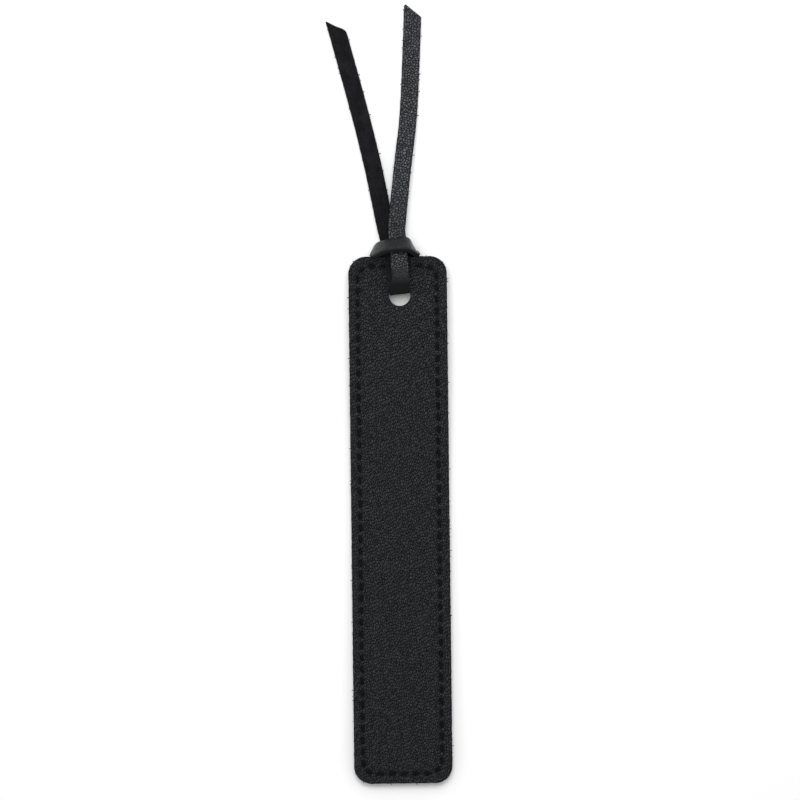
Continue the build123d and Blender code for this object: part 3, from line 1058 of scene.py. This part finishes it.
def lace_colour(tree, lace, grain, nap, side, tight, dark):
    """Colour of the lace: pebbles on the grain side, smooth where it is tight, nap on the flesh side, and
    the cut edge's colour on the cut edges and as painted shade where the lace goes into the hole.
    """
    light = ramp(tree, grain.outputs["Tone"], low=0.2, high=1.0)
    pebbles = shades(tree, light, lace.colour, dark=0.1, light=3.3)
    cloud = ramp(tree, nap.outputs["Tone"], low=0.38, high=0.62)
    flesh = shades(tree, cloud, lace.flesh_colour, dark=0.1, light=2.3)
    smoothed = shades(tree, light, lace.colour, dark=0.2, light=0.5)
    pebbles = mix_colours(tree, tight, pebbles, smoothed)
    return mix_colours(tree, dark, mix_colours(tree, side, flesh, pebbles), lace.cut_colour)


def lace_leather(lace):
    """Leather of the lace: pebbled grain on one side, nap on the other, raw cut edges and painted shade
    where it goes into the hole.
    """
    material, tree, shader = new_material("two_sided_lace_leather")
    place = tree.nodes.new("ShaderNodeUVMap")
    place.uv_map = "lay"
    grain = texture(tree, pebbled_grain, place.outputs["UV"], Pebble=lace.pebble, Wander=0.9)
    nap = texture(tree, fleshy_nap, place.outputs["UV"], Fibre=nap_fibre)
    tight = ramp(tree, mask(tree, "tight"), low=drawn_loose, high=drawn_round)
    # Painted shade where the lace goes down into the hole: values past drawn_round darken it to the cut
    # edge's colour
    painted_hole_shade = ramp(tree, mask(tree, "tight"), low=drawn_round, high=0.95 * drawn_tight_and_shaded)
    side = ramp(tree, mask(tree, "grain"), low=0.4, high=0.6)
    dark = maths(tree, "MAXIMUM", mask(tree, "cut"), painted_hole_shade)
    colour = lace_colour(tree, lace, grain, nap, side, tight, dark)
    tree.links.new(colour, shader.inputs["Base Color"])
    gloss = maths(tree, "MULTIPLY", side, maths(tree, "SUBTRACT", 1.0, dark))
    polish = maths(tree, "MULTIPLY_ADD", tight, -tight_polish, -grain_polish)
    tree.links.new(maths(tree, "MULTIPLY_ADD", gloss, polish, raw_roughness), shader.inputs["Roughness"])
    shader.inputs["Specular IOR Level"].default_value = 0.17
    relief = tree.nodes.new("ShaderNodeMix")
    tree.links.new(side, relief.inputs["Factor"])
    join(tree, nap, "Height", relief, "A")
    join(tree, grain, "Height", relief, "B")
    waves = maths(tree, "SUBTRACT", relief.outputs["Result"], relief_middle)
    stretched = maths(tree, "MULTIPLY_ADD", tight, -tight_loss, 1.0)
    bump(tree, shader, maths(tree, "MULTIPLY", waves, stretched), strength=0.85, distance=0.00028)
    return material


def waxed_thread(seam):
    """Waxed black thread with a fine twist."""
    material, tree, shader = new_material("waxed_thread")
    place = tree.nodes.new("ShaderNodeTexCoord")
    fibres = node(tree, "ShaderNodeTexNoise", Scale=9000.0, Detail=2.0)
    join(tree, place, "Object", fibres, "Vector")
    light = ramp(tree, fibres.outputs["Fac"], low=0.35, high=0.7)
    tree.links.new(shades(tree, light, seam.colour, dark=0.7, light=1.5), shader.inputs["Base Color"])
    shader.inputs["Roughness"].default_value = 0.75
    shader.inputs["Specular IOR Level"].default_value = 0.12
    bump(tree, shader, fibres.outputs["Fac"], strength=0.4, distance=0.00005)
    return material


def new_node_tree(name, sizes):
    """Geometry node tree that takes points and named sizes."""
    tree = bpy.data.node_groups.new(name, "GeometryNodeTree")
    tree.interface.new_socket(name="Geometry", in_out="INPUT", socket_type="NodeSocketGeometry")
    for size, default in sizes.items():
        entry = tree.interface.new_socket(name=size, in_out="INPUT", socket_type="NodeSocketFloat")
        entry.default_value = default
    tree.interface.new_socket(name="Material", in_out="INPUT", socket_type="NodeSocketMaterial")
    tree.interface.new_socket(name="Geometry", in_out="OUTPUT", socket_type="NodeSocketGeometry")
    return tree, tree.nodes.new("NodeGroupInput"), tree.nodes.new("NodeGroupOutput")


def named_vector(tree, name):
    """Vector that each point carries under this name."""
    made = tree.nodes.new("GeometryNodeInputNamedAttribute")
    made.data_type = "FLOAT_VECTOR"
    made.inputs["Name"].default_value = name
    return made.outputs["Attribute"]


def turned_axes(tree, primary, secondary, turn):
    """Rotation to these two axes, turned about its own axes by one more rotation."""
    axes = tree.nodes.new("FunctionNodeAxesToRotation")
    axes.primary_axis, axes.secondary_axis = primary[0], secondary[0]
    tree.links.new(primary[1], axes.inputs["Primary Axis"])
    tree.links.new(secondary[1], axes.inputs["Secondary Axis"])
    turned = tree.nodes.new("FunctionNodeRotateRotation")
    turned.rotation_space = "LOCAL"
    join(tree, axes, "Rotation", turned, "Rotation")
    join(tree, turn, "Rotation", turned, "Rotate By")
    return turned


def tube(tree, line, profile):
    """Closed tube along a curve."""
    made = node(tree, "GeometryNodeCurveToMesh", Fill_Caps=True)
    tree.links.new(line, made.inputs["Curve"])
    tree.links.new(profile, made.inputs["Profile Curve"])
    return made


def finish_tree(tree, entry, out, instance, turned):
    """Instances on the points at the end of a geometry node tree, realized and with their material."""
    lay = tree.nodes.new("GeometryNodeInstanceOnPoints")
    real = tree.nodes.new("GeometryNodeRealizeInstances")
    paint = tree.nodes.new("GeometryNodeSetMaterial")
    join(tree, entry, "Geometry", lay, "Points")
    tree.links.new(instance, lay.inputs["Instance"])
    join(tree, turned, "Rotation", lay, "Rotation")
    join(tree, lay, "Instances", real, "Geometry")
    join(tree, real, "Geometry", paint, "Geometry")
    join(tree, entry, "Material", paint, "Material")
    join(tree, paint, "Geometry", out, "Geometry")
    return lay


def stitch_tree():
    """Geometry nodes that lay one twisted stitch on each point, along the point's heading."""
    sizes = {"Stitch": 0.0019, "Thread": 0.0005, "Dive": 0.0004, "Twist": 9.0, "Slant": 0.15}
    tree, entry, out = new_node_tree("twisted_stitches", sizes)
    line = tree.nodes.new("GeometryNodeCurvePrimitiveLine")
    for end, share in (("Start", -0.5), ("End", 0.5)):
        along = maths(tree, "MULTIPLY", entry.outputs["Stitch"], share)
        tree.links.new(from_axes(tree, X=along), line.inputs[end])
    fine = node(tree, "GeometryNodeResampleCurve", Count=8)
    join(tree, line, "Curve", fine, "Curve")
    share = tree.nodes.new("GeometryNodeSplineParameter").outputs["Factor"]
    from_middle = maths(tree, "MULTIPLY", maths(tree, "ABSOLUTE", maths(tree, "SUBTRACT", share, 0.5)), 2.0)
    down = maths(tree, "MULTIPLY", entry.outputs["Dive"], -1.0)
    sink = maths(tree, "MULTIPLY", maths(tree, "POWER", from_middle, 4.0), down)
    arch = tree.nodes.new("GeometryNodeSetPosition")
    join(tree, fine, "Curve", arch, "Geometry")
    tree.links.new(from_axes(tree, Z=sink), arch.inputs["Offset"])
    tilt = tree.nodes.new("GeometryNodeSetCurveTilt")
    join(tree, arch, "Geometry", tilt, "Curve")
    tree.links.new(maths(tree, "MULTIPLY", share, entry.outputs["Twist"]), tilt.inputs["Tilt"])
    ring = node(tree, "GeometryNodeCurvePrimitiveCircle", Resolution=6)
    tree.links.new(maths(tree, "MULTIPLY", entry.outputs["Thread"], 0.5), ring.inputs["Radius"])
    flat = node(tree, "GeometryNodeTransform", Scale=(1.0, 0.66, 1.0))
    join(tree, ring, "Curve", flat, "Geometry")
    thread = tube(tree, tilt.outputs["Curve"], flat.outputs["Geometry"])
    soft = tree.nodes.new("GeometryNodeSetShadeSmooth")
    join(tree, thread, "Mesh", soft, "Geometry")
    lean = node(tree, "FunctionNodeAxisAngleToRotation", Axis=(0, 0, 1))
    join(tree, entry, "Slant", lean, "Angle")
    facing, heading = named_vector(tree, "facing"), named_vector(tree, "heading")
    turned = turned_axes(tree, ("Z", facing), ("X", heading), lean)
    finish_tree(tree, entry, out, soft.outputs["Geometry"], turned)
    return tree


def fibre_tree():
    """Geometry nodes that grow one short bent fibre out of each point, along the point's heading."""
    tree, entry, out = new_node_tree("loose_fibres", {"Fibre": 0.0006, "Thickness": 0.00005, "Spread": 0.7})
    seeds = []
    for seed, low, high in ((1, 0.35, 1.0), (2, -1.0, 1.0), (3, -1.0, 1.0)):
        chance = node(tree, "FunctionNodeRandomValue", Seed=seed)
        chance.inputs[2].default_value = low
        chance.inputs[3].default_value = high
        seeds.append(chance.outputs[1])
    length = entry.outputs["Fibre"]
    line = node(tree, "GeometryNodeCurveQuadraticBezier", Resolution=3, Start=(0, 0, 0))
    tree.links.new(from_axes(tree, X=maths(tree, "MULTIPLY", length, 0.6)), line.inputs["Middle"])
    tree.links.new(from_axes(tree, X=length, Y=maths(tree, "MULTIPLY", length, 0.35)), line.inputs["End"])
    ring = node(tree, "GeometryNodeCurvePrimitiveCircle", Resolution=3)
    tree.links.new(maths(tree, "MULTIPLY", entry.outputs["Thickness"], 0.5), ring.inputs["Radius"])
    fibre = tube(tree, line.outputs["Curve"], ring.outputs["Curve"])
    sway = [maths(tree, "MULTIPLY", seed, entry.outputs["Spread"]) for seed in seeds[1:]]
    lean = tree.nodes.new("FunctionNodeEulerToRotation")
    tree.links.new(from_axes(tree, Y=sway[0], Z=sway[1]), lean.inputs["Euler"])
    up = node(tree, "ShaderNodeCombineXYZ", Z=1.0).outputs[0]
    turned = turned_axes(tree, ("X", named_vector(tree, "heading")), ("Z", up), lean)
    grow = finish_tree(tree, entry, out, fibre.outputs["Mesh"], turned)
    tree.links.new(seeds[0], grow.inputs["Scale"])
    return tree


def grown(name, points, vectors, tree, sizes, material):
    """Plain object of what a geometry node tree makes on these points."""
    cloud = bpy.data.meshes.new(name)
    cloud.from_pydata(points, [], [])
    for vector, values in vectors.items():
        attribute = cloud.attributes.new(vector, "FLOAT_VECTOR", "POINT")
        attribute.data.foreach_set("vector", np.array(values, np.float32).ravel())
    holder = bpy.data.objects.new(name, cloud)
    modifier = holder.modifiers.new("growth", "NODES")
    modifier.node_group = tree
    for item in tree.interface.items_tree:
        if item.in_out == "INPUT" and item.name in sizes:
            modifier[item.identifier] = sizes[item.name]
        if item.in_out == "INPUT" and item.name == "Material":
            modifier[item.identifier] = material
    bpy.context.scene.collection.objects.link(holder)
    bpy.context.view_layer.update()
    mesh = bpy.data.meshes.new_from_object(holder.evaluated_get(bpy.context.evaluated_depsgraph_get()))
    if not mesh.polygons:
        raise RuntimeError(f"{name} has no faces")
    bpy.data.objects.remove(holder)
    mesh.name = name
    return new_piece(name, mesh, None)


def fuzz(name, rim, fibre, material):
    """Loose fibres at random places of a cut edge, whose rim is a list of (place, outward) steps."""
    chance = random.Random(fibre.seed)
    points, headings = [], []
    for (place, outward), (after, _) in zip(rim, rim[1:]):
        if chance.random() < (after - place).length / fibre.gap:
            points.append(tuple(place.lerp(after, chance.random())))
            headings.append(tuple(outward))
    tree = bpy.data.node_groups.get("loose_fibres") or fibre_tree()
    sizes = {"Fibre": fibre.length, "Thickness": fibre.thickness}
    return grown(name, points, {"heading": headings}, tree, sizes, material)


def panel_rim(panel):
    """Places and outward directions round the front ply's cut edge."""
    radius = panel.corner_radius
    corners = [(half_width, edge), (-half_width, edge), (-half_width, -edge), (half_width, -edge)]
    rim = []
    for k, (x, y) in enumerate(corners):
        centre = Vector((x - copysign(radius, x), y - copysign(radius, y), 0))
        for turn in spaced(k * pi / 2, (k + 1) * pi / 2, 0.1):
            outward = Vector((cos(turn), sin(turn), 0))
            rim.append((centre + outward * radius, outward))
    rim.append(rim[0])
    steps = []
    for (first, outward), (last, _) in zip(rim, rim[1:]):
        for share in spaced(0.0, 1.0, rim_step / max((last - first).length, rim_step))[:-1]:
            place = first.lerp(last, share)
            place.z = back_height(place.y, panel) + ply * rim_height
            steps.append((place, outward))
    return steps


def lace_rim(stations):
    """Places and outward directions along both edges of a stretch of lace."""
    steps = [(first, (first - second).normalized()) for first, second, *_ in stations]
    return steps + [(second, (second - first).normalized()) for first, second, *_ in reversed(stations)]


def dressed(piece, body, slot, *nodes):
    """Piece that rides on a body and stands for CAD nodes, which it hides; its finish slot is not used."""
    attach(piece, body)
    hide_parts(*nodes)


class BOOKMARK_OT_plies(bpy.types.Operator):
    """Build the front and back leather plies"""

    bl_idname = "bookmark.plies"
    bl_label = "Leather plies"

    def execute(self, context):
        panel, seam = context.scene.bookmark_panel, context.scene.bookmark_seam
        leather = panel_leather(panel)
        stitches = seam_stitches(seam)
        for side, outer_up in (("front", True), ("back", False)):
            mesh = ply_mesh(side + "_ply", panel, seam, stitches, outer_up)
            dressed(new_piece(side + "_ply", mesh, leather), "panel", "grain_leather", side + "_panel")
        fibres = fuzz("ply_fibres", panel_rim(panel), context.scene.bookmark_fibre, leather)
        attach(fibres, "panel")
        return {"FINISHED"}


class BOOKMARK_OT_seam(bpy.types.Operator):
    """Sew the stitches that show on the front and on the back"""

    bl_idname = "bookmark.seam"
    bl_label = "Lockstitch seam"

    def execute(self, context):
        panel, seam = context.scene.bookmark_panel, context.scene.bookmark_seam
        thread = waxed_thread(seam)
        tree = stitch_tree()
        sizes = {"Stitch": seam.stitch, "Thread": seam.thread, "Dive": seam.dimple, "Slant": seam.slant}
        for name, node_name, up, out in seam_sides:
            points, headings, facings = [], [], []
            sink = stitch_depth * seam.dimple - out * seam.thread
            for middle, heading in seam_stitches(seam):
                low = back_height(middle.y - slope_step, panel)
                high = back_height(middle.y + slope_step, panel)
                rise = (high - low) / (2 * slope_step)
                level = back_height(middle.y, panel) + ply + up * (ply - sink)
                points.append((middle.x, middle.y, level))
                headings.append((heading.x, heading.y, heading.y * rise))
                facings.append((0, -rise * up, up))
            stitches = grown(name, points, {"heading": headings, "facing": facings}, tree, sizes, thread)
            dressed(stitches, "panel", "thread", node_name)
        return {"FINISHED"}


class BOOKMARK_OT_hitch(bpy.types.Operator):
    """Tie the lace through the hole"""

    bl_idname = "bookmark.hitch"
    bl_label = "Hitched lace"

    def execute(self, context):
        panel, lace = context.scene.bookmark_panel, context.scene.bookmark_lace
        mesh = lace_mesh("hitch", hitch_stations(panel, lace), lace)
        piece = new_piece("hitch", mesh, lace_leather(lace))
        dressed(piece, "panel", "lace_leather", "lace_hitch")
        return {"FINISHED"}


class BOOKMARK_OT_tails(bpy.types.Operator):
    """Lay the two tails of the lace on the table"""

    bl_idname = "bookmark.tails"
    bl_label = "Lace tails"

    def execute(self, context):
        panel, lace = context.scene.bookmark_panel, context.scene.bookmark_lace
        leather = bpy.data.materials["two_sided_lace_leather"]
        stations = hitch_stations(panel, lace)
        ends = {"left": stations[0][1::-1], "right": stations[-1][:2]}
        for side, (route, turned, tip_wear) in tails.items():
            lay_root(side, *ends[side], turned, lace, leather)
            lay_end(side, route, turned, tip_wear, lace, context.scene.bookmark_fibre, leather)
        return {"FINISHED"}


def lay_floor(stage):
    """Plain floor under the object."""
    half = stage.floor_size / 2
    corners = [(-half, -half, 0), (half, -half, 0), (half, half, 0), (-half, half, 0)]
    mesh = bpy.data.meshes.new("floor")
    mesh.from_pydata(corners, [], [(0, 1, 2, 3)])
    material, _, shader = new_material("floor_paper")
    shader.inputs["Base Color"].default_value = (*stage.floor_colour, 1.0)
    shader.inputs["Roughness"].default_value = 0.9
    shader.inputs["Specular IOR Level"].default_value = 0.1
    new_piece("floor", mesh, material)


def light_sky(stage, scene):
    """White surroundings, stronger towards the lace and weaker overhead."""
    world = bpy.data.worlds.new("studio")
    world.use_nodes = True
    tree = world.node_tree
    backdrop = tree.nodes["Background"]
    backdrop.inputs["Color"].default_value = (1.0, 1.0, 1.0, 1.0)
    place = tree.nodes.new("ShaderNodeTexCoord")
    split = tree.nodes.new("ShaderNodeSeparateXYZ")
    join(tree, place, "Generated", split, "Vector")
    slope = stage.sky_strength * stage.sky_slope
    sloped = maths(tree, "MULTIPLY_ADD", split.outputs["Y"], slope, stage.sky_strength)
    overhead = ramp(tree, split.outputs["Z"], low=0.3, high=0.85)
    hollow = maths(tree, "MULTIPLY_ADD", overhead, -stage.sky_hollow, 1.0)
    tree.links.new(maths(tree, "MULTIPLY", sloped, hollow), backdrop.inputs["Strength"])
    scene.world = world


def hang_lamp(stage, scene):
    """Soft lamp over the lace."""
    lamp = bpy.data.lights.new("key", "AREA")
    lamp.shape = "RECTANGLE"
    lamp.size, lamp.size_y = key_size
    lamp.energy = stage.key_power
    key = bpy.data.objects.new("key", lamp)
    key.location = key_place
    aim = Vector(key_aim) - key.location
    key.rotation_euler = aim.to_track_quat("-Z", "Y").to_euler()
    scene.collection.objects.link(key)


def set_camera(stage, scene):
    """Camera that looks straight down."""
    camera = bpy.data.cameras.new("overhead")
    camera.lens = stage.lens
    camera.sensor_width = sensor_width
    camera.clip_end = 10.0
    view = bpy.data.objects.new("overhead", camera)
    view.location = (*view_middle, stage.view_width * stage.lens / sensor_width)
    view.rotation_euler = (0, 0, view_turn)
    scene.collection.objects.link(view)
    scene.camera = view


class BOOKMARK_OT_stage(bpy.types.Operator):
    """Set the floor, the light and the camera"""

    bl_idname = "bookmark.stage"
    bl_label = "Stage"

    def execute(self, context):
        stage, scene = context.scene.bookmark_stage, context.scene
        lay_floor(stage)
        light_sky(stage, scene)
        hang_lamp(stage, scene)
        set_camera(stage, scene)
        scene.view_settings.view_transform = "Standard"
        return {"FINISHED"}


class BOOKMARK_PT_sidebar(bpy.types.Panel):
    """Sidebar panel with one button for each piece"""

    bl_label = "Bookmark"
    bl_idname = "BOOKMARK_PT_sidebar"
    bl_space_type = "VIEW_3D"
    bl_region_type = "UI"
    bl_category = "Bookmark"

    def draw(self, context):
        for operator in operators:
            self.layout.operator(operator.bl_idname)


groups = {
    "bookmark_panel": PanelSettings,
    "bookmark_seam": SeamSettings,
    "bookmark_lace": LaceSettings,
    "bookmark_fibre": FibreSettings,
    "bookmark_stage": StageSettings,
}
operators = (BOOKMARK_OT_plies, BOOKMARK_OT_seam, BOOKMARK_OT_hitch, BOOKMARK_OT_tails, BOOKMARK_OT_stage)


def register():
    """Adds the settings, the operators and the sidebar panel."""
    for name, group in groups.items():
        bpy.utils.register_class(group)
        setattr(bpy.types.Scene, name, PointerProperty(type=group))
    for operator in operators:
        bpy.utils.register_class(operator)
    bpy.utils.register_class(BOOKMARK_PT_sidebar)


def unregister():
    """Takes the settings, the operators and the sidebar panel away again."""
    bpy.utils.unregister_class(BOOKMARK_PT_sidebar)
    for operator in reversed(operators):
        bpy.utils.unregister_class(operator)
    for name, group in groups.items():
        delattr(bpy.types.Scene, name)
        bpy.utils.unregister_class(group)


def main():
    """Builds every piece in order."""
    register()
    bpy.ops.bookmark.plies()
    bpy.ops.bookmark.seam()
    bpy.ops.bookmark.hitch()
    bpy.ops.bookmark.tails()
    bpy.ops.bookmark.stage()


if __name__ == "__main__":
    main()
